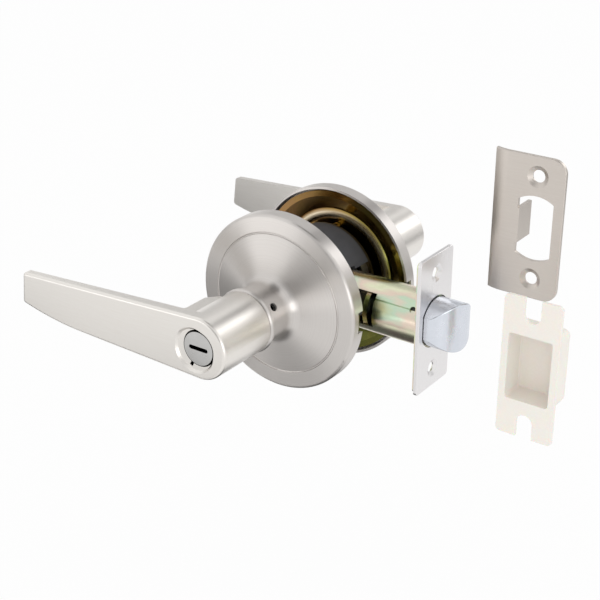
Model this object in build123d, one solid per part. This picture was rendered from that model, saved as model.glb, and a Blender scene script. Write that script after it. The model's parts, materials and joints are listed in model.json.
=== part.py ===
# Bathroom lever lock: a cylindrical privacy latch set with two levers on roses,
# a drum chassis, a spring latch, a strike plate and a dust box for the frame.
#
# Millimetres. The origin is where the spindle axis crosses the latch axis, at
# the middle of the door. +X runs along the latch to the door's edge, -Y is the
# outside with the coin slot, +Y is the inside with the turn button, +Z is up.
# Pieces of the two sides are drawn on the inside, where their distance from the
# middle of the door is +Y, and are mirrored for the outside.
import os
from math import radians, sqrt, tan

from build123d import *

os.makedirs("parts", exist_ok=True)

# Door and setting out
door_thickness = 33.0
backset = 60.3
sliding_gap = 0.3
running_gap = 0.08
bolt_throw = 12.0

# Rose, a spun sheet with a neck and a rolled bead
rose_radius = 37.5
rose_wall = 1.0
rim_height = 6.5
rim_round = 1.3
groove_radius = 29.9
groove_rise = 0.1
groove_wire = 0.45
dish_slope = 17.5
neck_radius = 11.9
neck_sweep = 5.0
neck_height = 27.6
bead_radius = 13.4
bead_length = 2.8
bead_round = 1.2
release_hole_radius = 1.7
release_hole_height = 21.5
release_hole_angle = 35.0
notch_width = 9.0
notch_depth = 2.0

# Mounting plate under the rose
plate_sheet = 1.2
plate_gap = 1.0
plate_radius = rose_radius - rose_wall - plate_gap
plate_recess = 1.2
plate_flange = 2.5
plate_cone_radius = 27.0
plate_cone_drop = 4.3
rib_inner_radius = 22.4
rib_crest_drop = 3.4
plate_seat_drop = 4.4
clip_width = 6.0
clip_reach = 0.9
screw_circle = 19.6
screw_shank_radius = 1.6
screw_head_radius = 2.6
screw_head_height = 1.8
screw_slot = 0.8

# Chassis drum with its cover and hubs
drum_length = 28.0
drum_radius = 21.0
drum_wall = 1.2
cover_wall = 1.4
cover_gap = 0.1
cover_opening_angle = 28.0
window_half_width = 10.0
window_half_height = 11.8
hub_flange = 1.6
hub_flange_radius = 22.3
hub_collar_radius = 11.5
hub_sleeve_radius = 8.2
hub_sleeve_past_nut = 0.5
nut_radius = 10.8
nut_height = 2.0

# Spindle with its two cam fingers, retaining ring and spring driver
spindle_radius = 6.2
spindle_wall = 1.2
spindle_start = 5.0
finger_length = 4.0
finger_width = 4.0
finger_reach = 12.0
ring_radius = 8.4
ring_thickness = 1.0
driver_radius = 12.6
driver_thickness = 1.4
driver_ear_width = 7.0
driver_ear_thickness = 1.3
return_spring_radius = 15.5
return_spring_wire = 0.65
return_spring_turns = 1.5

# Lever, one casting of shank and blade
lever_length = 94.4
lever_front = 72.8
shank_radius = 12.9
shank_gap = 0.4
spigot_length = 9.6
spigot_gap = 0.1
blade_root_thickness = 5.0
blade_tip_thickness = 3.6
blade_tip_top = 7.8
blade_tip_bottom = 6.0
blade_tip_lean = 1.6
blade_tip_round = 1.5
blade_edge_round = 1.2
belly_start = 62.0
belly_height = 10.9
shoulder_reach = 14.5
shoulder_height = 9.8
shoulder_start = 2.6
shoulder_ramp = 4.0
shoulder_blend = 8.0
shoulder_round = 1.5

# Privacy turn: coin plug outside, flat bar through the set, button inside
plug_radius = 7.1
plug_gap = 0.4
plug_length = 6.5
plug_recess = 0.3
coin_slot_length = 9.0
coin_slot_width = 1.7
coin_slot_depth = 3.0
dish_radius = 9.4
dish_depth = 0.9
dish_shift_x = -2.0
dish_shift_z = -1.2
key_notch_width = 1.4
key_notch_depth = 2.2
key_notch_angle = 243.0
bar_width = 5.0
bar_thickness = 1.6
bar_hole_radius = 3.1
bar_grip = 2.8
button_grip_length = 13.6
button_grip_width = 4.2
button_grip_height = 8.5
catch_pin_reach = 9.0
catch_leaf_length = 11.0
catch_leaf_width = 3.4
catch_leaf_thickness = 0.6

# Retractor
retractor_half_width = 4.0
retractor_half_height = 9.0
retractor_back = 5.3
retractor_front = 22.6
shoulder_inner_height = 6.7
shoulder_outer_width = 9.2
arm_start = 3.0
arm_end = 11.0
arm_half_width = 3.2
spring_centre_height = 12.6
spring_pocket_radius = 2.3
spring_pocket_floor = 1.5
retractor_spring_radius = 1.6
retractor_spring_wire = 0.3
retractor_spring_turns = 8

# Latch tube and its plates
tube_radius = 11.2
tube_wall = 0.9
tube_start = 24.0
tube_window_end = 38.0
tube_window_top = 8.5
tube_window_bottom = 5.0
prong_half_width = 4.0
prong_length = 5.5
seam_height = 6.8
seam_width = 0.5
seam_depth = 0.35
dimple_radius = 1.3
dimple_from_plate = 2.6
guide_start = 33.0
guide_thickness = 2.0
face_thickness = 1.5
face_width = 24.5
face_height = 57.15
face_corner = 1.6
face_screw_spacing = 41.3
face_screw_radius = 2.1
countersink_radius = 3.8
countersink_depth = 1.0
face_opening_radius = 10.8
face_opening_gap = 0.45
face_edge_round = 0.3
back_plate_thickness = 1.0
back_plate_inset = 0.9

# Latch bolt and tail
bolt_radius = 10.2
bolt_flat = 9.1
bolt_back_flat = 7.6
bolt_rear = 47.6
bolt_nose_radius = 13.2
bolt_nose_shift = 3.6
bolt_nose_clear = 4.0
bolt_edge_round = 0.5
bolt_pocket_radius = 5.8
bolt_pocket_depth = 8.6
bolt_pin_radius = 1.5
bolt_pin_behind_face = 0.6
tail_past_face = 1.0
tail_half_height = 3.5
tail_half_thickness = 1.0
tail_head_half_height = 6.0
tail_head_length = 2.3
tail_head_start = 17.3
tail_slack = 0.3
latch_spring_radius = 4.7
latch_spring_wire = 0.45
latch_spring_turns = 7

# Strike plate, laid out beside the latch
strike_height = 57.15
strike_edge = 11.2
strike_lip_edge = 18.3
strike_thickness = 1.5
strike_corner = 5.5
strike_lip_length = 6.0
strike_lip_curl = 1.3
strike_opening_radius = 13.0
strike_opening_half_width = 7.25
strike_tab_height = 14.0
strike_tab_depth = 10.5
strike_edge_round = 0.3
strike_screw_radius = 2.5
strike_countersink_radius = 4.3
strike_countersink_depth = 1.0
strike_place = (91.0, 17.5, 40.3)

# Dust box, laid out below the strike plate
box_flange_width = 23.0
box_flange_height = 57.15
box_flange_thickness = 1.3
box_flange_corner = 1.8
box_cavity_width = 17.6
box_cavity_height = 27.0
box_cavity_corner = 1.2
box_depth = 12.5
box_wall = 1.4
box_body_corner = 2.4
box_body_round = 1.2
box_floor_round = 0.8
box_slot_width = 6.6
box_slot_depth = 9.6
box_place = (107.4, -13.3, -1.8)

# Levels that follow from the sizes above, measured from the middle of the door
door_face = door_thickness / 2
neck_end = door_face + neck_height
neck_bore = neck_radius - rose_wall
drum_end = drum_length / 2
hub_face = drum_end + hub_flange
plate_seat = door_face + plate_seat_drop
plate_back = plate_seat + plate_sheet
nut_face = plate_back + nut_height
sleeve_end = nut_face + hub_sleeve_past_nut
spindle_bore = spindle_radius - spindle_wall
lever_butt = neck_end + shank_gap
spigot_end = lever_butt - spigot_length
plug_face = lever_front - plug_recess
plug_back = plug_face - plug_length
spindle_end = plug_back - 2 * sliding_gap
face_back = backset - face_thickness
tube_end = face_back - back_plate_thickness
tube_bore = tube_radius - tube_wall
bolt_tip = backset + bolt_throw

pieces = {}


def block(x_from, x_to, y_from, y_to, z_from, z_to):
    centre = Pos((x_from + x_to) / 2, (y_from + y_to) / 2, (z_from + z_to) / 2)
    return centre * Box(x_to - x_from, y_to - y_from, z_to - z_from)


def rod_y(radius, y_from, y_to):
    return Pos(0, (y_from + y_to) / 2, 0) * Rot(90, 0, 0) * Cylinder(radius, y_to - y_from)


def rod_x(radius, x_from, x_to):
    return Pos((x_from + x_to) / 2, 0, 0) * Rot(0, 90, 0) * Cylinder(radius, x_to - x_from)


def turned(points):
    """Solid of revolution about the spindle axis from (radius, level) points."""
    return revolve(make_face(Polyline(*points, close=True)), Axis.Y)


def around(angle, shape):
    """Turn a shape about the spindle axis, from +X towards +Z."""
    return Rot(0, -angle, 0) * shape


def coil_x(radius, wire, turns, x_from, x_to):
    """Coil spring along X with both ends inside the given span."""
    travel = x_to - x_from - 2 * wire
    path = Helix(pitch=travel / turns, height=travel, radius=radius)
    section = Plane(origin=path @ 0, z_dir=path % 0) * Circle(wire)
    return Pos(x_from + wire, 0, 0) * Rot(0, 90, 0) * sweep(section, path=path, is_frenet=True)


def on_both_sides(name, shape):
    pieces["inside_" + name] = shape
    pieces["outside_" + name] = mirror(shape, about=Plane.XZ)


# Roses

def rose_outline(inner_edge, level_from, level_to):
    rim_level = door_face + rim_height
    groove_level = rim_level + groove_rise
    dish_level = groove_level + (groove_radius - neck_radius) * tan(radians(dish_slope))
    outline = make_face(Polyline(
        (inner_edge, level_from),
        (rose_radius, level_from),
        (rose_radius, rim_level),
        (groove_radius, groove_level),
        (neck_radius, dish_level),
        (neck_radius, level_to),
        (inner_edge, level_to),
        close=True,
    ))
    rim = outline.vertices().sort_by_distance((rose_radius, rim_level, 0))[0]
    outline = fillet(rim, rim_round)
    throat = outline.vertices().sort_by_distance((neck_radius, dish_level, 0))[0]
    return fillet(throat, neck_sweep)


def make_rose():
    past_ends = 3 * rose_wall
    outside = rose_outline(0, door_face, neck_end)
    hollow = rose_outline(-past_ends, door_face - past_ends, neck_end + past_ends)
    section = outside - offset(hollow, amount=-rose_wall)
    rose = revolve(section, Axis.Y)
    bead = Pos((neck_bore + bead_radius) / 2, neck_end - bead_length / 2)
    bead *= Rectangle(bead_radius - neck_bore, bead_length)
    bead = fillet(bead.vertices().group_by(Axis.X)[-1], bead_round)
    rose += revolve(bead, Axis.Y)
    groove_level = door_face + rim_height + groove_rise
    rose -= revolve(Pos(groove_radius, groove_level) * Circle(groove_wire), Axis.Y)
    hole_level = door_face + release_hole_height
    hole = Pos(0, hole_level, 0) * rod_x(release_hole_radius, spindle_radius, bead_radius)
    rose -= around(release_hole_angle, hole)
    notch_floor = door_face + plate_recess + notch_depth
    notch = block(
        rose_radius - 2 * rose_wall, rose_radius + rose_wall,
        door_face - rose_wall, notch_floor,
        -notch_width / 2, notch_width / 2,
    )
    return rose - notch


on_both_sides("rose", make_rose())


# Mounting plates, hub nuts and screws

def make_mounting_plate():
    rib_crest_radius = (rib_inner_radius + plate_cone_radius) / 2
    hole_radius = hub_sleeve_radius + running_gap
    flange_level = door_face + plate_recess
    cone_level = door_face + plate_cone_drop
    seat = Line((hole_radius, plate_seat), (rib_inner_radius, plate_seat))
    rib = ThreePointArc(
        (rib_inner_radius, plate_seat),
        (rib_crest_radius, door_face + rib_crest_drop),
        (plate_cone_radius, cone_level),
    )
    cone = Line((plate_cone_radius, cone_level), (plate_radius - plate_flange, flange_level))
    flange = Line((plate_radius - plate_flange, flange_level), (plate_radius, flange_level))
    door_side = [seat, rib, cone, flange]
    room_side = [Pos(0, plate_sheet) * edge for edge in door_side]
    inner_end = Line((hole_radius, plate_seat), (hole_radius, plate_back))
    outer_end = Line((plate_radius, flange_level), (plate_radius, flange_level + plate_sheet))
    plate = revolve(make_face([*door_side, *room_side, inner_end, outer_end]), Axis.Y)
    clip = block(
        plate_radius - plate_flange / 2, plate_radius + clip_reach,
        flange_level, flange_level + plate_sheet,
        -clip_width / 2, clip_width / 2,
    )
    return plate + clip


def screw_places():
    return [Pos(0, 0, screw_circle), Pos(0, 0, -screw_circle)]


def make_inside_plate():
    plate = make_mounting_plate()
    for place in screw_places():
        plate -= place * rod_y(screw_shank_radius + sliding_gap, door_face, nut_face)
    return plate


def make_mounting_screws():
    shank = rod_y(screw_shank_radius, drum_end + running_gap, plate_back)
    head = rod_y(screw_head_radius, plate_back, plate_back + screw_head_height)
    slot_floor = plate_back + screw_head_height / 2
    slot_span = 2 * screw_head_radius
    slot = block(
        -slot_span, slot_span, slot_floor, nut_face,
        -screw_slot / 2, screw_slot / 2,
    )
    return Compound([place * (shank + head - slot) for place in screw_places()])


def make_nut():
    bore = hub_sleeve_radius + running_gap
    flats = extrude(Plane.XZ * RegularPolygon(nut_radius, 6), -nut_height)
    return Pos(0, plate_back, 0) * flats - rod_y(bore, plate_back, nut_face)


pieces["inside_mounting_plate"] = make_inside_plate()
pieces["outside_mounting_plate"] = mirror(make_mounting_plate(), about=Plane.XZ)
pieces["mounting_screws"] = make_mounting_screws()
on_both_sides("hub_nut", make_nut())


# Chassis drum, cover and hubs

def make_drum():
    drum = rod_y(drum_radius, -drum_end, drum_end)
    drum -= rod_y(drum_radius - drum_wall, -drum_end, drum_end)
    return drum - block(
        0, 2 * drum_radius,
        -window_half_width, window_half_width,
        -window_half_height, window_half_height,
    )


def make_cover():
    inner = drum_radius + cover_gap
    cover = rod_y(inner + cover_wall, -drum_end, drum_end) - rod_y(inner, -drum_end, drum_end)
    reach = 2 * drum_radius
    opening = make_face(Polyline(
        (0, 0),
        (reach, reach * tan(radians(cover_opening_angle))),
        (reach, -reach * tan(radians(cover_opening_angle))),
        close=True,
    ))
    cover -= extrude(Plane.XZ * opening, drum_length, both=True)
    prong_room = prong_half_width + 2 * sliding_gap
    return cover - block(0, reach, -prong_room, prong_room, -window_half_height, window_half_height)


def make_hub():
    hub = turned([
        (spindle_radius + running_gap, drum_end),
        (hub_flange_radius, drum_end),
        (hub_flange_radius, hub_face),
        (hub_collar_radius, hub_face),
        (hub_collar_radius, plate_seat),
        (hub_sleeve_radius, plate_seat),
        (hub_sleeve_radius, sleeve_end),
        (spindle_radius + running_gap, sleeve_end),
    ])
    for place in screw_places():
        hub -= place * rod_y(screw_shank_radius + running_gap, drum_end, hub_face)
    return hub


pieces["chassis_drum"] = make_drum()
pieces["chassis_cover"] = make_cover()
on_both_sides("hub", make_hub())


# Spindles, retaining rings, spring drivers and return springs

def make_spindle():
    spindle = rod_y(spindle_radius, spindle_start, spindle_end)
    finger = block(
        -finger_width / 2, finger_width / 2,
        spindle_start, spindle_start + finger_length,
        -finger_reach, finger_reach,
    )
    spindle = spindle + finger - rod_y(spindle_bore, spindle_start, spindle_end)
    hole = Pos(0, door_face + release_hole_height, 0)
    hole *= rod_x(release_hole_radius + running_gap, spindle_bore / 2, 2 * spindle_radius)
    spindle -= around(release_hole_angle, hole)
    ring_seat = rod_y(ring_radius, ring_level, ring_level + ring_thickness)
    groove_floor = spindle_radius - spindle_wall / 3
    return spindle - (ring_seat - rod_y(groove_floor, ring_level, ring_level + ring_thickness))


def make_retaining_ring():
    seat = spindle_radius - spindle_wall / 3 + running_gap
    ring = rod_y(ring_radius, ring_level + running_gap, ring_level + ring_thickness - running_gap)
    ring -= rod_y(seat, ring_level, ring_level + ring_thickness)
    mouth = spindle_wall
    return ring - block(0, ring_radius, ring_level, ring_level + ring_thickness, -mouth, mouth)


def make_spring_driver():
    bore = spindle_radius + running_gap
    driver = rod_y(driver_radius, driver_level, driver_level + driver_thickness)
    ear = block(
        -driver_ear_width / 2, driver_ear_width / 2,
        plate_back + 2 * sliding_gap, driver_level,
        driver_radius - driver_ear_thickness, driver_radius,
    )
    return driver + ear - rod_y(bore, driver_level, driver_level + driver_thickness)


def make_return_spring():
    level = plate_back + return_spring_wire + sliding_gap / 3
    pitch = 2 * return_spring_wire + sliding_gap / 3
    path = Helix(pitch=pitch, height=pitch * return_spring_turns, radius=return_spring_radius)
    section = Plane(origin=path @ 0, z_dir=path % 0) * Circle(return_spring_wire)
    spring = sweep(section, path=path, is_frenet=True)
    return Pos(0, level, 0) * Rot(-90, 0, 0) * spring


ring_level = sleeve_end + sliding_gap
driver_level = ring_level + ring_thickness + sliding_gap
on_both_sides("spindle", make_spindle())
on_both_sides("retaining_ring", make_retaining_ring())
on_both_sides("spring_driver", make_spring_driver())
on_both_sides("return_spring", make_return_spring())


# Levers and the catches that hold them on their spindles

def blade_outline():
    tip_top = (blade_tip_lean - lever_length, blade_tip_top)
    tip_bottom = (-lever_length, -blade_tip_bottom)
    top = Line((0, shank_radius), tip_top)
    tip = Line(tip_top, tip_bottom)
    underside = Line((0, -shank_radius), (-belly_start, -belly_height))
    belly = TangentArc(underside @ 1, tip_bottom, tangent=underside % 1)
    nose = ThreePointArc((0, -shank_radius), (shank_radius, 0), (0, shank_radius))
    outline = make_face([top, tip, belly, underside, nose])
    corners = outline.vertices().sort_by(Axis.X)[:2]
    return fillet(corners, blade_tip_round)


def make_blade():
    blade = Pos(0, lever_front, 0) * extrude(Plane.XZ * blade_outline(), shank_radius)
    behind_tip = lever_front - blade_tip_thickness
    behind_root = lever_front - blade_root_thickness
    room = 2 * shank_radius
    behind = make_face(Polyline(
        (room, behind_root),
        (0, behind_root),
        (-lever_length, behind_tip),
        (-lever_length - room, behind_tip),
        (-lever_length - room, lever_butt),
        (room, lever_butt),
        close=True,
    ))
    return blade - extrude(behind, room, both=True)


def make_shoulder():
    start = lever_butt + shoulder_start
    behind_root = lever_front - blade_root_thickness / 2
    plan = make_face(Polyline(
        (0, start),
        (-neck_bore, start),
        (-shoulder_reach, start + shoulder_ramp),
        (-shoulder_reach, behind_root - shoulder_blend),
        (-shoulder_reach - shoulder_blend / 2, behind_root),
        (0, behind_root),
        close=True,
    ))
    shoulder = extrude(plan, shoulder_height, both=True)
    long_edges = shoulder.edges().filter_by(Plane.XY).filter_by(lambda edge: edge.center().X < -neck_bore)
    return fillet(long_edges, shoulder_round)


def make_lever():
    shank = rod_y(shank_radius, lever_butt, lever_front)
    lever = shank + make_shoulder() + make_blade()
    front_edges = lever.edges().group_by(Axis.Y)[-1]
    lever = fillet(front_edges, blade_edge_round)
    lever += rod_y(neck_bore - spigot_gap, spigot_end, lever_butt)
    lever -= rod_y(spindle_radius + running_gap, spigot_end, spindle_end + sliding_gap)
    lever -= rod_y(bar_hole_radius, spigot_end, lever_front)
    lever -= rod_y(plug_radius + plug_gap, plug_back - sliding_gap, lever_front)
    hole = Pos(0, door_face + release_hole_height, 0)
    hole *= rod_x(release_hole_radius + running_gap, spindle_bore, 2 * spindle_radius)
    return lever - around(release_hole_angle, hole)


def make_outside_lever():
    lever = make_lever()
    dish = Pos(dish_shift_x, 0, dish_shift_z)
    dish *= turned([
        (0, lever_front - dish_depth),
        (dish_radius - dish_depth, lever_front - dish_depth),
        (dish_radius, lever_front),
        (0, lever_front),
    ])
    notch = block(
        plug_radius, dish_radius,
        lever_front - dish_depth - key_notch_depth, lever_front,
        -key_notch_width / 2, key_notch_width / 2,
    )
    return lever - dish - around(key_notch_angle, notch)


def make_lever_catch():
    level = door_face + release_hole_height
    leaf_floor = spindle_bore - running_gap - catch_leaf_thickness
    half_leaf = catch_leaf_width / 2
    leaf_floor = sqrt(leaf_floor ** 2 - half_leaf ** 2)
    leaf = block(
        leaf_floor, leaf_floor + catch_leaf_thickness,
        level - catch_leaf_length / 2, level + catch_leaf_length / 2,
        -half_leaf, half_leaf,
    )
    pin = Pos(0, level, 0) * rod_x(release_hole_radius, leaf_floor, catch_pin_reach)
    return around(release_hole_angle, leaf + pin)


pieces["inside_lever"] = make_lever()
pieces["outside_lever"] = mirror(make_outside_lever(), about=Plane.XZ)
on_both_sides("lever_catch", make_lever_catch())


# Privacy turn: coin plug, locking bar and turn button

def bar_socket():
    half_width = bar_width / 2 + running_gap
    half_thickness = bar_thickness / 2 + running_gap
    return block(
        -half_width, half_width,
        plug_back, plug_back + bar_grip + running_gap,
        -half_thickness, half_thickness,
    )


def make_coin_plug():
    plug = rod_y(plug_radius, plug_back, plug_face)
    slot = Plane.XZ * SlotOverall(coin_slot_length, coin_slot_width)
    plug -= Pos(0, plug_face, 0) * extrude(slot, coin_slot_depth)
    return mirror(plug - bar_socket(), about=Plane.XZ)


def make_turn_button():
    button = rod_y(plug_radius, plug_back, plug_face)
    grip = Plane.XZ * SlotOverall(button_grip_length, button_grip_width)
    grip = Pos(0, plug_face, 0) * extrude(grip, -button_grip_height)
    grip = fillet(grip.edges().group_by(Axis.Y)[-1], button_grip_width / 4)
    return button + grip - bar_socket()


def make_locking_bar():
    end = plug_back + bar_grip
    return block(
        -bar_width / 2, bar_width / 2, -end, end,
        -bar_thickness / 2, bar_thickness / 2,
    )


pieces["coin_plug"] = make_coin_plug()
pieces["turn_button"] = make_turn_button()
pieces["locking_bar"] = make_locking_bar()


# Retractor with the springs that push it back

def make_retractor():
    width = retractor_half_width
    height = retractor_half_height
    body = block(-retractor_back, retractor_front, -width, width, -height, height)
    shoulder_front = -finger_width / 2 - sliding_gap
    for side in (1, -1):
        low, high = sorted((side * shoulder_inner_height, side * height))
        body += block(-retractor_back, shoulder_front, -shoulder_outer_width, width, low, high)
        arm_top = spring_centre_height + spring_pocket_radius + sliding_gap * 2
        low, high = sorted((side * height, side * arm_top))
        body += block(arm_start, arm_end, -arm_half_width, arm_half_width, low, high)
        pocket = rod_x(spring_pocket_radius, arm_start, arm_end - spring_pocket_floor)
        body -= Pos(0, 0, side * spring_centre_height) * pocket
    bar_room = sqrt(bar_width ** 2 + bar_thickness ** 2) / 2 + 2 * sliding_gap
    body -= block(-bar_room, bolt_throw + bar_room, -width, width, -bar_room, bar_room)
    head_end = tail_head_start + tail_head_length
    head_room = tail_head_half_height + tail_slack
    neck_room = tail_half_height + tail_slack
    side_room = tail_half_thickness + tail_slack
    body -= block(
        tail_head_start - tail_slack, head_end + tail_slack,
        -side_room, width, -head_room, head_room,
    )
    return body - block(head_end, retractor_front, -side_room, width, -neck_room, neck_room)


def make_retractor_springs():
    reach = spring_centre_height + retractor_spring_radius + retractor_spring_wire
    wall = drum_radius - drum_wall
    start = -sqrt(wall ** 2 - reach ** 2) + sliding_gap
    end = arm_end - spring_pocket_floor
    spring = coil_x(retractor_spring_radius, retractor_spring_wire, retractor_spring_turns, start, end)
    return Compound([Pos(0, 0, side * spring_centre_height) * spring for side in (1, -1)])


pieces["retractor"] = make_retractor()
pieces["retractor_springs"] = make_retractor_springs()


# Latch tube, guide, back plate and faceplate

def make_tube():
    prong_start = tube_start - prong_length
    tube = rod_x(tube_radius, prong_start, tube_end) - rod_x(tube_bore, prong_start, tube_end)
    prong_floor = sqrt(tube_bore ** 2 - prong_half_width ** 2)
    room = 2 * tube_radius
    tube -= block(prong_start, tube_start, -room, room, -prong_floor, prong_floor)
    for side in (1, -1):
        low, high = sorted((side * prong_half_width, side * room))
        tube -= block(prong_start, tube_start, low, high, -room, room)
    tube -= block(
        tube_start, tube_window_end, -room, 0, -tube_window_bottom, tube_window_top)
    seam_side = sqrt(tube_radius ** 2 - seam_height ** 2)
    seam = Pos(0, -seam_side, seam_height) * block(
        tube_window_end, tube_end, -seam_depth, seam_depth, -seam_width / 2, seam_width / 2)
    dimple = Pos(tube_end - dimple_from_plate, -seam_side, seam_height)
    dimple *= Rot(90 - 90 * seam_height / tube_radius, 0, 0) * Cylinder(dimple_radius, 2 * tube_wall)
    return tube - seam - dimple


def make_guide():
    guide = rod_x(tube_bore - running_gap, guide_start, guide_start + guide_thickness)
    half_height = tail_half_height + tail_slack
    half_thickness = tail_half_thickness + tail_slack
    return guide - block(
        guide_start, guide_start + guide_thickness,
        -half_thickness, half_thickness, -half_height, half_height)


def plate_blank(x_from, thickness, width, height, corner):
    return Pos(x_from, 0, 0) * extrude(Plane.YZ * RectangleRounded(width, height, corner), thickness)


def flatted_rod(radius, gap, x_from, x_to):
    """Round bar along X with the bolt's two flats, each moved out by the gap."""
    sides = block(
        x_from, x_to, -bolt_flat - gap, bolt_back_flat + gap, -radius, radius)
    return rod_x(radius, x_from, x_to) & sides


def make_back_plate():
    plate = plate_blank(
        tube_end, back_plate_thickness,
        face_width - 2 * back_plate_inset, face_height - 2 * back_plate_inset, face_corner)
    plate -= rod_x(tube_bore, tube_end, face_back)
    for side in (1, -1):
        hole = rod_x(countersink_radius, tube_end, face_back)
        plate -= Pos(0, 0, side * face_screw_spacing / 2) * hole
    return plate


def make_faceplate():
    plate = plate_blank(face_back, face_thickness, face_width, face_height, face_corner)
    plate = fillet(plate.edges().group_by(Axis.X)[-1], face_edge_round)
    plate -= flatted_rod(face_opening_radius, face_opening_gap, face_back, backset)
    sink = Pos(backset - countersink_depth / 2, 0, 0) * Rot(0, 90, 0)
    sink *= Cone(face_screw_radius, countersink_radius, countersink_depth)
    for side in (1, -1):
        hole = rod_x(face_screw_radius, face_back, backset) + sink
        plate -= Pos(0, 0, side * face_screw_spacing / 2) * hole
    return plate


pieces["latch_tube"] = make_tube()
pieces["tail_guide"] = make_guide()
pieces["latch_back_plate"] = make_back_plate()
pieces["faceplate"] = make_faceplate()


# Latch bolt, tail, pin and spring

def make_bolt():
    bolt = flatted_rod(bolt_radius, 0, bolt_rear, bolt_tip)
    nose_axis = bolt_tip - bolt_nose_radius
    nose = block(bolt_rear, nose_axis, -bolt_radius, bolt_radius, -bolt_radius, bolt_radius)
    nose += Pos(nose_axis, bolt_nose_shift, 0) * Cylinder(bolt_nose_radius, 2 * bolt_radius)
    bolt &= nose
    nose_edges = bolt.edges().filter_by(lambda edge: edge.center().X > backset + bolt_nose_clear)
    bolt = fillet(nose_edges, bolt_edge_round)
    bolt -= rod_x(bolt_pocket_radius, bolt_rear, bolt_rear + bolt_pocket_depth)
    slot_end = tail_front + tail_slack
    half_height = tail_half_height + running_gap
    half_thickness = tail_half_thickness + running_gap
    bolt -= block(
        bolt_rear, slot_end, -half_thickness, half_thickness, -half_height, half_height)
    return bolt - bolt_pin_rod(bolt_pin_radius + running_gap, 0)


def bolt_pin_rod(radius, inset):
    rod = rod_y(radius, inset - bolt_flat, bolt_back_flat - inset)
    return Pos(backset - bolt_pin_behind_face - bolt_pin_radius, 0, 0) * rod


def make_tail():
    tail = block(
        tail_head_start, tail_front,
        -tail_half_thickness, tail_half_thickness, -tail_half_height, tail_half_height)
    tail += block(
        tail_head_start, tail_head_start + tail_head_length,
        -tail_half_thickness, tail_half_thickness,
        -tail_head_half_height, tail_head_half_height)
    return tail - bolt_pin_rod(bolt_pin_radius + running_gap, 0)


tail_front = backset + tail_past_face
pieces["latch_bolt"] = make_bolt()
pieces["bolt_tail"] = make_tail()
pieces["bolt_pin"] = bolt_pin_rod(bolt_pin_radius, sliding_gap)
pieces["latch_spring"] = coil_x(
    latch_spring_radius, latch_spring_wire, latch_spring_turns,
    guide_start + guide_thickness + running_gap,
    bolt_rear + bolt_pocket_depth - running_gap)


# Strike plate

def make_strike():
    half_height = strike_height / 2
    flat_end = -strike_lip_edge + strike_lip_length
    front = [
        Line((strike_edge, 0), (flat_end, 0)),
        ThreePointArc(
            (flat_end, 0),
            (flat_end - strike_lip_length / 2, strike_lip_curl / 4),
            (-strike_lip_edge, strike_lip_curl)),
    ]
    back = [Pos(0, strike_thickness) * edge for edge in front]
    right = Line((strike_edge, 0), (strike_edge, strike_thickness))
    left = Line(
        (-strike_lip_edge, strike_lip_curl), (-strike_lip_edge, strike_lip_curl + strike_thickness))
    plate = extrude(make_face([*front, *back, right, left]), half_height, both=True)
    corners = plate.edges().filter_by(Axis.Y).group_by(Axis.X)[-1]
    plate = fillet(corners, strike_corner)
    plate = fillet(plate.edges().group_by(Axis.Y)[0], strike_edge_round)
    opening = Circle(strike_opening_radius)
    opening &= Rectangle(2 * strike_opening_half_width, 2 * strike_opening_radius)
    plate -= extrude(Plane.XZ * opening, strike_height, both=True)
    plate += block(
        -strike_opening_half_width - strike_thickness / 2,
        -strike_opening_half_width + strike_thickness / 2,
        0, strike_tab_depth,
        -strike_tab_height / 2, strike_tab_height / 2)
    sink = Pos(0, strike_countersink_depth / 2, 0) * Rot(90, 0, 0)
    sink *= Cone(strike_screw_radius, strike_countersink_radius, strike_countersink_depth)
    for side in (1, -1):
        hole = rod_y(strike_screw_radius, 0, strike_thickness) + sink
        plate -= Pos(0, 0, side * face_screw_spacing / 2) * hole
    return Pos(*strike_place) * plate


pieces["strike_plate"] = make_strike()


# Dust box

def make_dust_box():
    flange = RectangleRounded(box_flange_width, box_flange_height, box_flange_corner)
    slot_length = 2 * box_slot_depth
    for side in (1, -1):
        slot = Rot(0, 0, 90) * SlotOverall(slot_length, box_slot_width)
        flange -= Pos(0, side * box_flange_height / 2) * slot
    box = extrude(Plane.XZ * flange, -box_flange_thickness)
    body_width = box_cavity_width + 2 * box_wall
    body_height = box_cavity_height + 2 * box_wall
    body = RectangleRounded(body_width, body_height, box_body_corner)
    body = extrude(Plane.XZ * body, -box_depth)
    box += fillet(body.edges().group_by(Axis.Y)[-1], box_body_round)
    cavity = RectangleRounded(box_cavity_width, box_cavity_height, box_cavity_corner)
    cavity = extrude(Plane.XZ * cavity, -(box_depth - box_wall))
    box -= fillet(cavity.edges().group_by(Axis.Y)[-1], box_floor_round)
    return Pos(*box_place) * box


pieces["dust_box"] = make_dust_box()

for name, shape in pieces.items():
    export_step(shape, f"parts/{name}.step")
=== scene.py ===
import json
from math import cos, pi, radians, sin

import bpy
from mathutils import Matrix, Vector

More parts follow.
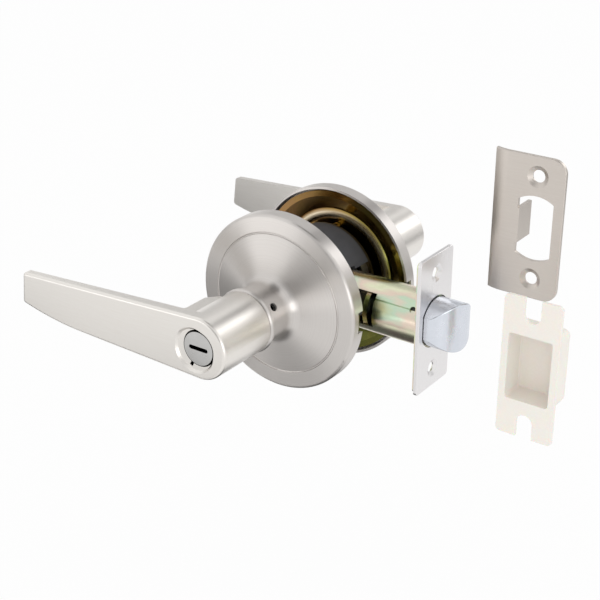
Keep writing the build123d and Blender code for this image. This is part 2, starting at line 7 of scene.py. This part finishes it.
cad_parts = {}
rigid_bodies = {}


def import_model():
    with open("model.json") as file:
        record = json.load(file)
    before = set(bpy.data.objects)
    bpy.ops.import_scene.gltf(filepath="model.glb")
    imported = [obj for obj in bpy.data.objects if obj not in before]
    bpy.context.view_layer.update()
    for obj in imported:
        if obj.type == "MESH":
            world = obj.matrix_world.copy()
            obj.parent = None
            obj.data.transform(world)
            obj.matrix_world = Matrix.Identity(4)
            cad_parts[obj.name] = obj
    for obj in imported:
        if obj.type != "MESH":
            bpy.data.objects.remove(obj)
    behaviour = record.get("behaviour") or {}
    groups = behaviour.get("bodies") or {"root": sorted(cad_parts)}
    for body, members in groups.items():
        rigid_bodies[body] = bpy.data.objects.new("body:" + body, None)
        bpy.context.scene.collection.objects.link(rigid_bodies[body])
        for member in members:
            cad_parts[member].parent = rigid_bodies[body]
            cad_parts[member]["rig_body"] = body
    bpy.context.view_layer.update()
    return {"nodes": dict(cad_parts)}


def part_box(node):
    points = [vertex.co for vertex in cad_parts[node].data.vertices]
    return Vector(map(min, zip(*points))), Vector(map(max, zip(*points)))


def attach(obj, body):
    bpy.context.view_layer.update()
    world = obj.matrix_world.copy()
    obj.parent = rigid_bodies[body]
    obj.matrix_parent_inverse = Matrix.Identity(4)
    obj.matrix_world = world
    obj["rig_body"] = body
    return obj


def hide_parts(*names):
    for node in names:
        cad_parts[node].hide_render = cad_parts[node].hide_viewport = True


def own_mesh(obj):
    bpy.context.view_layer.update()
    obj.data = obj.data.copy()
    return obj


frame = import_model()
nodes = frame["nodes"]

# Chassis drum and cover. A rolled steel drum fills the bore in the door and
# carries the mechanism, and a dark grey moulded cover is snapped round it, open
# on the side where the latch comes in.


class Shade:
    """One socket of a material's node tree. Sums on it add the Math nodes they need."""

    def __init__(self, tree, socket=None):
        self.tree = tree
        self.socket = socket

    def feed(self, socket, value):
        if isinstance(value, Shade):
            self.tree.links.new(value.socket, socket)
        else:
            socket.default_value = value

    def node(self, kind, settings, inputs, output=0):
        made = self.tree.nodes.new("ShaderNode" + kind)
        for name, value in settings.items():
            if name == "stops":
                set_stops(made.color_ramp.elements, value)
            else:
                setattr(made, name, value)
        for name, value in inputs.items():
            self.feed(made.inputs[name], value)
        return Shade(self.tree, made.outputs[output])

    def math(self, operation, first, second):
        return self.node("Math", {"operation": operation}, {0: first, 1: second})

    def __add__(self, other):
        return self.math("ADD", self, other)

    def __radd__(self, other):
        return self.math("ADD", other, self)

    def __sub__(self, other):
        return self.math("SUBTRACT", self, other)

    def __rsub__(self, other):
        return self.math("SUBTRACT", other, self)

    def __mul__(self, other):
        return self.math("MULTIPLY", self, other)

    def __rmul__(self, other):
        return self.math("MULTIPLY", other, self)


def set_stops(elements, stops):
    while len(elements) < len(stops):
        elements.new(1.0)
    for element, (place, colour) in zip(elements, stops):
        element.position = place
        element.color = colour


def hex_colour(text):
    """Linear colour with alpha from a screen colour such as d8d2ca."""
    shares = [int(text[start:start + 2], 16) / 255 for start in (0, 2, 4)]
    return (*[((share + 0.055) / 1.055) ** 2.4 for share in shares], 1.0)


def new_finish(name):
    """A material, a Shade to build its nodes on, and its surface shader's sockets."""
    material = bpy.data.materials.new(name)
    material.use_nodes = True
    shader = material.node_tree.nodes["Principled BSDF"]
    return material, Shade(material.node_tree), shader.inputs


def blend_colours(shade, factor, first, second):
    return shade.node(
        "Mix", {"data_type": "RGBA"}, {"Factor": factor, 6: first, 7: second}, output=2)


def own_place(shade):
    return shade.node("TexCoord", {}, {}, "Object")


def stretched_noise(shade, stretch, detail):
    """Noise over the piece's own place, drawn out by a scale for each axis."""
    drawn = shade.node("VectorMath", {"operation": "MULTIPLY"}, {0: own_place(shade), 1: stretch})
    return shade.node("TexNoise", {}, {"Vector": drawn, "Scale": 1.0, "Detail": detail})


def bumped(shade, height, distance):
    return shade.node("Bump", {}, {"Height": height, "Distance": distance, "Strength": 1.0})


def wear(node_name, material):
    nodes[node_name].material_slots[0].material = material


def dark_coat(name, tone_from, tone_to):
    material, shade, sockets = new_finish(name)
    rough = 0.5
    rough_spread = 0.16
    grain_depth = 0.00002
    cloud = stretched_noise(shade, stretch=(160, 160, 160), detail=3.0)
    grain = stretched_noise(shade, stretch=(2500, 2500, 2500), detail=2.0)
    tone = blend_colours(shade, cloud, hex_colour(tone_from), hex_colour(tone_to))
    shade.feed(sockets["Base Color"], tone)
    shade.feed(sockets["Roughness"], rough + rough_spread * cloud)
    sockets["Metallic"].default_value = 0.0
    sockets["Specular IOR Level"].default_value = 0.35
    shade.feed(sockets["Normal"], bumped(shade, grain, grain_depth))
    return material


def bare_metal(name, tone_from, tone_to, stretch, detail, rough, rough_spread):
    material, shade, sockets = new_finish(name)
    streak = stretched_noise(shade, stretch, detail)
    tone = blend_colours(shade, streak, hex_colour(tone_from), hex_colour(tone_to))
    shade.feed(sockets["Base Color"], tone)
    shade.feed(sockets["Roughness"], rough + rough_spread * streak)
    sockets["Metallic"].default_value = 1.0
    return material


plain_steel = bare_metal(
    "rolled_steel", "8f8d8a", "b5b3af", stretch=(900, 60, 900), detail=3.0, rough=0.28, rough_spread=0.18)
wear("chassis_cover", dark_coat("cover_moulding", "434346", "545457"))
wear("chassis_drum", plain_steel)

# Hubs, mounting plates, nuts and screws. The plates and screws are steel in yellow
# zinc, whose film shimmers from copper to green; the hubs and nuts are painted dark brown as shade.
# The nuts and screws clamp the plates on the hubs against both faces of the door.


def spindle_distance(shade):
    flat = shade.node("VectorMath", {"operation": "MULTIPLY"}, {0: own_place(shade), 1: (1, 0, 1)})
    return shade.node("VectorMath", {"operation": "LENGTH"}, {0: flat}, "Value")


def yellow_zinc():
    material, shade, sockets = new_finish("yellow_zinc")
    film_across = 7.5
    film_up = 2.0
    crest_radius = 0.0246
    crest_half = 0.0024
    crest_highlight_share = 0.85
    rough = 0.13
    rough_spread = 0.12
    crest_highlight_rough = 0.2
    drift = stretched_noise(shade, stretch=(45, 45, 45), detail=3.0)
    place = own_place(shade)
    across = shade.node("SeparateXYZ", {}, {"Vector": place}, "X")
    height = shade.node("SeparateXYZ", {}, {"Vector": place}, "Z")
    film = across * film_across - height * film_up + drift
    shimmer = shade.node("ValToRGB", {"stops": [
        (0.22, hex_colour("9d7a50")),
        (0.36, hex_colour("9e8048")),
        (0.5, hex_colour("978142")),
        (0.64, hex_colour("857b3c")),
        (0.8, hex_colour("787a3e")),
    ]}, {"Fac": film})
    # A pale cream ring on the rib's crest is a painted highlight.
    radius = spindle_distance(shade)
    from_crest = shade.node("Math", {"operation": "ABSOLUTE"}, {0: radius - crest_radius})
    crest_highlight = shade.node(
        "MapRange", {"interpolation_type": "SMOOTHSTEP"},
        {"Value": from_crest, "From Min": 0.0, "From Max": crest_half,
         "To Min": crest_highlight_share, "To Max": 0.0})
    shade.feed(sockets["Base Color"], blend_colours(shade, crest_highlight, shimmer, hex_colour("f1e6cc")))
    shade.feed(sockets["Roughness"], rough + rough_spread * drift + crest_highlight_rough * crest_highlight)
    sockets["Metallic"].default_value = 1.0
    return material


gold_zinc = yellow_zinc()
# The hubs and nuts wear a dark brown that is painted shade for the plates' hollow.
hub_shade_zinc = bare_metal(
    "hub_painted_shade_zinc", "3f3624", "574b33", stretch=(120, 120, 120), detail=3.0, rough=0.3, rough_spread=0.15)
for side in ("outside_", "inside_"):
    wear(side + "mounting_plate", gold_zinc)
    wear(side + "hub", hub_shade_zinc)
    wear(side + "hub_nut", hub_shade_zinc)
wear("mounting_screws", gold_zinc)

# Spindles and their small parts. Each lever turns a drawn steel tube with cam
# fingers, held in its hub by a split ring and turned back by a torsion spring.
# A spring catch holds the lever on and is pressed through the neck's hole; its
# near-black colour is painted shade for that hole.

spring_wire = bare_metal(
    "drawn_wire", "77757a", "a09ea3", stretch=(500, 500, 500), detail=2.0, rough=0.2, rough_spread=0.14)
# The catch's near-black colour is painted shade for the hole in the neck.
catch_hole_shade = dark_coat("catch_hole_shade", "1e1e20", "2c2c2e")
for side in ("outside_", "inside_"):
    for piece in ("spindle", "retaining_ring", "spring_driver"):
        wear(side + piece, plain_steel)
    wear(side + "lever_catch", catch_hole_shade)
    wear(side + "return_spring", spring_wire)

# Retractor, its springs and the locking bar. The retractor is a zinc die casting
# that the spindle's fingers draw back against two small springs, and the flat
# brass bar runs through it from the coin plug to the turn button.


def die_casting():
    material, shade, sockets = new_finish("die_casting")
    rough = 0.42
    rough_spread = 0.18
    grain = stretched_noise(shade, stretch=(700, 700, 700), detail=4.0)
    tone = blend_colours(shade, grain, hex_colour("84847f"), hex_colour("a9a9a4"))
    shade.feed(sockets["Base Color"], tone)
    shade.feed(sockets["Roughness"], rough + rough_spread * grain)
    sockets["Metallic"].default_value = 0.85
    return material


def pressed_spring(node_name):
    """The spring as a piece of its own in drawn wire, on its node's body, in place of the node."""
    spring = bpy.data.objects.new("pressed_" + node_name, nodes[node_name].data.copy())
    bpy.context.scene.collection.objects.link(spring)
    spring.material_slots[0].material = spring_wire
    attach(spring, nodes[node_name]["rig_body"])
    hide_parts(node_name)
    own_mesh(spring)


wear("retractor", die_casting())
pressed_spring("retractor_springs")
brass_strip = bare_metal(
    "drawn_brass", "b7994f", "cfb36c", stretch=(900, 60, 900), detail=3.0, rough=0.26, rough_spread=0.16)
wear("locking_bar", brass_strip)

# Latch tube, guide and back plate. Rolled and stamped steel in pale zinc with a
# thin film of straw, mint and rose. The tube is crimped to the back plate and its
# two prongs snap into the drum.


def pale_zinc():
    material, shade, sockets = new_finish("pale_zinc")
    rough = 0.15
    rough_spread = 0.14
    drift = stretched_noise(shade, stretch=(34, 95, 95), detail=3.0)
    shimmer = shade.node("ValToRGB", {"stops": [
        (0.3, hex_colour("cbd6ad")),
        (0.43, hex_colour("dfe0c2")),
        (0.53, hex_colour("e0cdbd")),
        (0.62, hex_colour("c3d8c0")),
        (0.76, hex_colour("dcd9a4")),
    ]}, {"Fac": drift})
    shade.feed(sockets["Base Color"], shimmer)
    shade.feed(sockets["Roughness"], rough + rough_spread * drift)
    sockets["Metallic"].default_value = 1.0
    return material


clear_zinc = pale_zinc()
for piece in ("latch_tube", "tail_guide", "latch_back_plate"):
    wear(piece, clear_zinc)

# Latch bolt, tail, pin and spring. The bolt is a die casting, polished and plated
# in bright chrome where it comes out of the faceplate; in the tube it is left bare and
# painted dark grey as the tube's shade.
# It is pinned to a flat steel tail that the retractor pulls.


def bright_chrome():
    material, shade, sockets = new_finish("bright_chrome")
    rough = 0.2
    rough_spread = 0.12
    bare_and_shaded_rough = 0.3
    ripple_depth = 0.00003
    face_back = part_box("faceplate")[0][0]
    ripple = stretched_noise(shade, stretch=(260, 260, 260), detail=2.0)
    across = shade.node("SeparateXYZ", {}, {"Vector": own_place(shade)}, "X")
    # Inside the tube the bolt is bare casting, painted dark grey as the tube's shade.
    bare_and_shaded = shade.math("LESS_THAN", across, face_back)
    chrome = blend_colours(shade, ripple, hex_colour("d2d7df"), hex_colour("e2e5ec"))
    tone = blend_colours(shade, bare_and_shaded, chrome, hex_colour("4c4b49"))
    shade.feed(sockets["Base Color"], tone)
    shade.feed(sockets["Roughness"], rough + rough_spread * ripple + bare_and_shaded_rough * bare_and_shaded)
    sockets["Metallic"].default_value = 1.0
    shade.feed(sockets["Normal"], bumped(shade, ripple, ripple_depth))
    return material


wear("latch_bolt", bright_chrome())
wear("bolt_tail", plain_steel)
wear("bolt_pin", plain_steel)
pressed_spring("latch_spring")

# Faceplate. A stamped steel plate in bright satin nickel, brushed along its length.
# Two countersunk holes take the screws that fix it in the door's edge.


def satin_nickel(name, tone_from, tone_to, stretch, rough):
    material, shade, sockets = new_finish(name)
    rough_spread = 0.1
    brush_depth = 0.000004
    streak = stretched_noise(shade, stretch, detail=4.0)
    tone = blend_colours(shade, streak, hex_colour(tone_from), hex_colour(tone_to))
    shade.feed(sockets["Base Color"], tone)
    shade.feed(sockets["Roughness"], rough + rough_spread * streak)
    sockets["Metallic"].default_value = 1.0
    shade.feed(sockets["Normal"], bumped(shade, streak, brush_depth))
    return material


plate_nickel = satin_nickel("plate_nickel", "e6e4e4", "ebe9e9", stretch=(3000, 3000, 90), rough=0.24)
wear("faceplate", plate_nickel)

# Roses. Sheet steel spun over a former, with a rolled rim, a scribed groove and a
# beaded neck, in satin nickel. Fine rings from the spinning spread the light, so the
# piece's own Z is the spindle. A bump slopes the outer band more than its mesh does.


def spun_nickel():
    material, shade, sockets = new_finish("spun_nickel")
    rings_per_metre = 2600
    ring_depth = 0.000003
    band_from = 0.0305
    band_to = 0.0375
    band_fall = 0.001
    rough = 0.28
    rough_spread = 0.12
    flat = shade.node("VectorMath", {"operation": "MULTIPLY"}, {0: own_place(shade), 1: (1, 1, 0)})
    radius = shade.node("VectorMath", {"operation": "LENGTH"}, {0: flat}, "Value")
    ring = shade.node(
        "TexNoise", {"noise_dimensions": "1D"},
        {"W": radius * rings_per_metre, "Scale": 1.0, "Detail": 3.0})
    tone = blend_colours(shade, ring, hex_colour("cec9c5"), hex_colour("dbd7d3"))
    shade.feed(sockets["Base Color"], tone)
    shade.feed(sockets["Roughness"], rough + rough_spread * ring)
    sockets["Metallic"].default_value = 1.0
    sockets["Anisotropic"].default_value = 0.9
    sockets["Anisotropic Rotation"].default_value = 0.25
    crown = shade.node(
        "MapRange", {},
        {"Value": radius, "From Min": band_from, "From Max": band_to,
         "To Min": band_fall, "To Max": 0.0})
    shade.feed(sockets["Normal"], bumped(shade, crown + ring_depth * ring, distance=1.0))
    return material


def spun_copy(node_name, turn, material):
    """The node's mesh in a piece whose own Z is the spindle axis, so its polish runs round it."""
    mesh = nodes[node_name].data.copy()
    mesh.transform(Matrix.Rotation(-turn, 4, "X"))
    piece = bpy.data.objects.new("spun_" + node_name, mesh)
    bpy.context.scene.collection.objects.link(piece)
    piece.rotation_euler = (turn, 0, 0)
    piece.material_slots[0].material = material
    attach(piece, nodes[node_name]["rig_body"])
    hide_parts(node_name)


rose_nickel = spun_nickel()
spun_copy("outside_rose", radians(90), rose_nickel)
spun_copy("inside_rose", radians(-90), rose_nickel)

# Levers. Zinc die castings, linished along the blade and plated in satin nickel. The bore
# for the plug or button and its notch are painted near-black as shade.


def below_surface(shade, face, start, end):
    """0 down to the start depth below the face, rising to 1 at the end depth."""
    level = shade.node("SeparateXYZ", {}, {"Vector": own_place(shade)}, "Y")
    depth = face - shade.node("Math", {"operation": "ABSOLUTE"}, {0: level})
    return shade.node("MapRange", {}, {"Value": depth, "From Min": start, "From Max": end})


def lever_nickel():
    material, shade, sockets = new_finish("lever_nickel")
    notch_reach = 0.0096
    notch_start = 0.001
    notch_full = 0.0013
    bore_gap = 0.00045
    rough = 0.28
    rough_spread = 0.08
    bore_shade_rough = 0.3
    linish_depth = 0.000003
    bore_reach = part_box("coin_plug")[1][0] + bore_gap
    front = -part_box("outside_lever")[0][1]
    streak = stretched_noise(shade, stretch=(110, 2600, 2600), detail=4.0)
    radius = spindle_distance(shade)
    # The bore and the notch round the plug are painted near-black as shade.
    in_bore = shade.math("LESS_THAN", radius, bore_reach)
    deep_enough = below_surface(shade, front, notch_start, notch_full)
    in_notch = shade.math("LESS_THAN", radius, notch_reach) * deep_enough
    bore_shade = shade.math("MAXIMUM", in_bore, in_notch)
    tone = blend_colours(shade, streak, hex_colour("e6e1db"), hex_colour("edeae5"))
    shade.feed(sockets["Base Color"], blend_colours(shade, bore_shade, tone, hex_colour("1b1a19")))
    shade.feed(sockets["Roughness"], rough + rough_spread * streak + bore_shade_rough * bore_shade)
    sockets["Metallic"].default_value = 1.0
    shade.feed(sockets["Normal"], bumped(shade, streak, linish_depth))
    return material


satin_lever = lever_nickel()
wear("outside_lever", satin_lever)
wear("inside_lever", satin_lever)

# Coin plug and turn button. Turned pieces in satin nickel on the two ends of the
# locking bar: outside a plug with a coin slot, painted dark as shade in the slot and round
# its rim, and inside a button with a flat grip. A bump crowns the plug's flat face a little.


def turned_nickel():
    material, shade, sockets = new_finish("turned_nickel")
    crown_per_metre = 3.0
    rim_width = 0.00025
    slot_start = 0.0001
    slot_full = 0.0004
    rough = 0.24
    rough_spread = 0.1
    slot_and_rim_shade_rough = 0.3
    face = -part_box("coin_plug")[0][1]
    cloud = stretched_noise(shade, stretch=(420, 420, 420), detail=3.0)
    rim_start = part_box("coin_plug")[1][0] - rim_width
    # The slot and the ring round the plug's rim are painted near-black as shade.
    at_rim = shade.math("GREATER_THAN", spindle_distance(shade), rim_start)
    in_slot = below_surface(shade, face, slot_start, slot_full)
    slot_and_rim_shade = shade.math("MAXIMUM", at_rim, in_slot)
    tone = blend_colours(shade, cloud, hex_colour("bdbcba"), hex_colour("cbcac8"))
    shade.feed(sockets["Base Color"], blend_colours(shade, slot_and_rim_shade, tone, hex_colour("191817")))
    shade.feed(sockets["Roughness"], rough + rough_spread * cloud + slot_and_rim_shade_rough * slot_and_rim_shade)
    sockets["Metallic"].default_value = 1.0
    crown = shade.node("Math", {"operation": "POWER"}, {0: spindle_distance(shade), 1: 2.0})
    shade.feed(sockets["Normal"], bumped(shade, crown * -crown_per_metre, distance=1.0))
    return material


wear("coin_plug", turned_nickel())
button_nickel = satin_nickel("button_nickel", "d6d2cc", "e0dcd6", stretch=(900, 900, 900), rough=0.26)
wear("turn_button", button_nickel)

# Strike plate. Stamped steel in a warmer satin nickel, with a curled lip that
# meets the bolt and a tab bent back through its opening. It is screwed to the frame.

strike_nickel = satin_nickel("strike_nickel", "cac2ba", "d5cec7", stretch=(120, 3000, 3000), rough=0.34)
wear("strike_plate", strike_nickel)

# Dust box. One thin moulding in ivory plastic that lines the frame behind the
# strike plate, held by the same two screws through its slots.


def ivory_plastic():
    material, shade, sockets = new_finish("ivory_plastic")
    rough = 0.42
    rough_spread = 0.1
    grain = stretched_noise(shade, stretch=(1200, 1200, 1200), detail=2.0)
    tone = blend_colours(shade, grain, hex_colour("e9e6dd"), hex_colour("efece5"))
    shade.feed(sockets["Base Color"], tone)
    shade.feed(sockets["Roughness"], rough + rough_spread * grain)
    sockets["Subsurface Weight"].default_value = 0.25
    sockets["Subsurface Scale"].default_value = 0.003
    return material


wear("dust_box", ivory_plastic())

# Studio floor and backdrop. A flat white sheet below the lock that shows as white
# and keeps a trace of its shadow, under a white tent.


def seen_rays(shade):
    """1 for rays that show the background: from the camera, in gloss and through glass."""
    camera = shade.node("LightPath", {}, {}, "Is Camera Ray")
    gloss = shade.node("LightPath", {}, {}, "Is Glossy Ray")
    glass = shade.node("LightPath", {}, {}, "Is Transmission Ray")
    return shade.math("MAXIMUM", camera, shade.math("MAXIMUM", gloss, glass))


def stage_sheet(name, corners, material):
    mesh = bpy.data.meshes.new(name)
    mesh.from_pydata(corners, [], [(0, 1, 2, 3)])
    mesh.materials.append(material)
    sheet = bpy.data.objects.new(name, mesh)
    bpy.context.scene.collection.objects.link(sheet)
    return sheet


def floor_paint():
    material, shade = new_finish("floor_paint")[:2]
    own_light = 0.9
    matt = shade.node("BsdfDiffuse", {}, {"Color": (0.9, 0.9, 0.9, 1)})
    white = shade.node("Emission", {}, {"Color": (1, 1, 1, 1), "Strength": 1.0})
    shown = shade.node("MixShader", {}, {"Fac": seen_rays(shade) * own_light, 1: matt, 2: white})
    shade.feed(material.node_tree.nodes["Material Output"].inputs["Surface"], shown)
    return material


floor_level = -0.16
floor_half = 3.0
floor_signs = ((-1, -1), (1, -1), (1, 1), (-1, 1))
stage_sheet(
    "floor", [(x * floor_half, y * floor_half, floor_level) for x, y in floor_signs], floor_paint())

tent = bpy.data.worlds.new("tent")
bpy.context.scene.world = tent
tent.use_nodes = True
shade = Shade(tent.node_tree)
tent_light = 0.95
backdrop = tent.node_tree.nodes["Background"]
backdrop.inputs["Color"].default_value = (1, 1, 1, 1)
shade.feed(backdrop.inputs["Strength"], tent_light + (1 - tent_light) * seen_rays(shade))

# Lamps and cards. Soft lamps light the lock, and cards of grey and dark felt, which
# the camera doesn't see, give the satin metal something to mirror; the cards on the table
# paint the lock's shadow and shade on the floor into its reflections.


def softbox(name, place, size, radiance):
    """An area lamp that faces the part and has the given brightness over its face."""
    lamp = bpy.data.lights.new(name, "AREA")
    lamp.shape = "RECTANGLE"
    lamp.size, lamp.size_y = size
    lamp.energy = radiance * pi * size[0] * size[1]
    holder = bpy.data.objects.new(name, lamp)
    holder.location = place
    holder.visible_camera = False
    holder.rotation_euler = (-Vector(place)).to_track_quat("-Z", "Y").to_euler()
    bpy.context.scene.collection.objects.link(holder)


def fading_felt(name, middle, reach, tone):
    """Matt felt that thins out to nothing towards its edge."""
    material, shade = new_finish(name)[:2]
    full_share = 0.45
    offset = shade.node("VectorMath", {"operation": "SUBTRACT"}, {0: own_place(shade), 1: middle})
    distance = shade.node("VectorMath", {"operation": "LENGTH"}, {0: offset}, "Value")
    gone = shade.node(
        "MapRange", {"interpolation_type": "SMOOTHSTEP"},
        {"Value": distance, "From Min": full_share * reach, "From Max": reach})
    matt = shade.node("BsdfDiffuse", {}, {"Color": hex_colour(tone)})
    clear = shade.node("BsdfTransparent", {}, {})
    thinned = shade.node("MixShader", {}, {"Fac": gone, 1: matt, 2: clear})
    shade.feed(material.node_tree.nodes["Material Output"].inputs["Surface"], thinned)
    return material


def felt_card(name, place, half, tone):
    """A round-faded card of felt that faces the part and is mirrored in gloss alone."""
    turn = (-Vector(place)).to_track_quat("-Z", "Y")
    flat = [(x * half, y * half, 0) for x, y in floor_signs]
    felt = fading_felt(name + "_felt", place, half, tone)
    card = stage_sheet(name, [turn @ Vector(corner) + Vector(place) for corner in flat], felt)
    card.visible_camera = False
    card.visible_diffuse = False
    card.visible_shadow = False


softbox("front_softbox", (-0.5, -0.7, -0.07), size=(0.32, 0.14), radiance=1.7)
softbox("back_softbox", (0.4, 0.75, 0.45), size=(0.25, 0.4), radiance=1.6)
softbox("right_softbox", (0.8, -0.6, 0.02), size=(0.7, 0.5), radiance=1.45)
felt_card("camera_card", (0.12, -1.05, 0.32), half=0.58, tone="989898")
felt_card("overhead_card", (0.1, 0.05, 1.0), half=0.5, tone="202020")
felt_card("back_top_card", (0.12, 0.78, 0.76), half=0.22, tone="303030")
felt_card("back_left_card", (-0.55, 0.75, 0.45), half=0.5, tone="d4d4d4")
felt_card("back_right_card", (0.85, 0.75, 0.12), half=0.4, tone="dcdcdc")
felt_card("left_card", (-1.0, -0.3, 0.0), half=0.42, tone="d4d4d4")
# The table cards are painted shadow: grey felt under the lock that only its reflections show.
felt_card("far_table_card", (-0.25, -0.095, -0.155), half=0.14, tone="505050")
felt_card("near_table_card", (-0.115, -0.14, -0.152), half=0.09, tone="989898")
felt_card("back_table_card", (0.38, 0.48, -0.155), half=0.2, tone="a0a0a0")
felt_card("side_table_card", (-0.25, 0.3, -0.155), half=0.16, tone="a8a8a8")
felt_card("under_card", (-0.01, -0.01, -0.15), half=0.125, tone="606060")

# Camera. A long lens in front of the lock, to its right and above it, set where the
# photograph was taken from.

view_target = Vector((-0.00473, 0.0, -0.00849))
view_distance = 0.54864
view_azimuth = radians(35.49)
view_elevation = radians(24.97)
lens = bpy.data.cameras.new("photo_camera")
lens.sensor_width = 36.0
lens.lens = 78.08
camera = bpy.data.objects.new("photo_camera", lens)
toward_camera = Vector((
    sin(view_azimuth) * cos(view_elevation),
    -cos(view_azimuth) * cos(view_elevation),
    sin(view_elevation),
))
camera.location = view_target + view_distance * toward_camera
camera.rotation_euler = toward_camera.to_track_quat("Z", "Y").to_euler()
bpy.context.scene.collection.objects.link(camera)
bpy.context.scene.camera = camera
bpy.context.scene.view_settings.view_transform = "Standard"
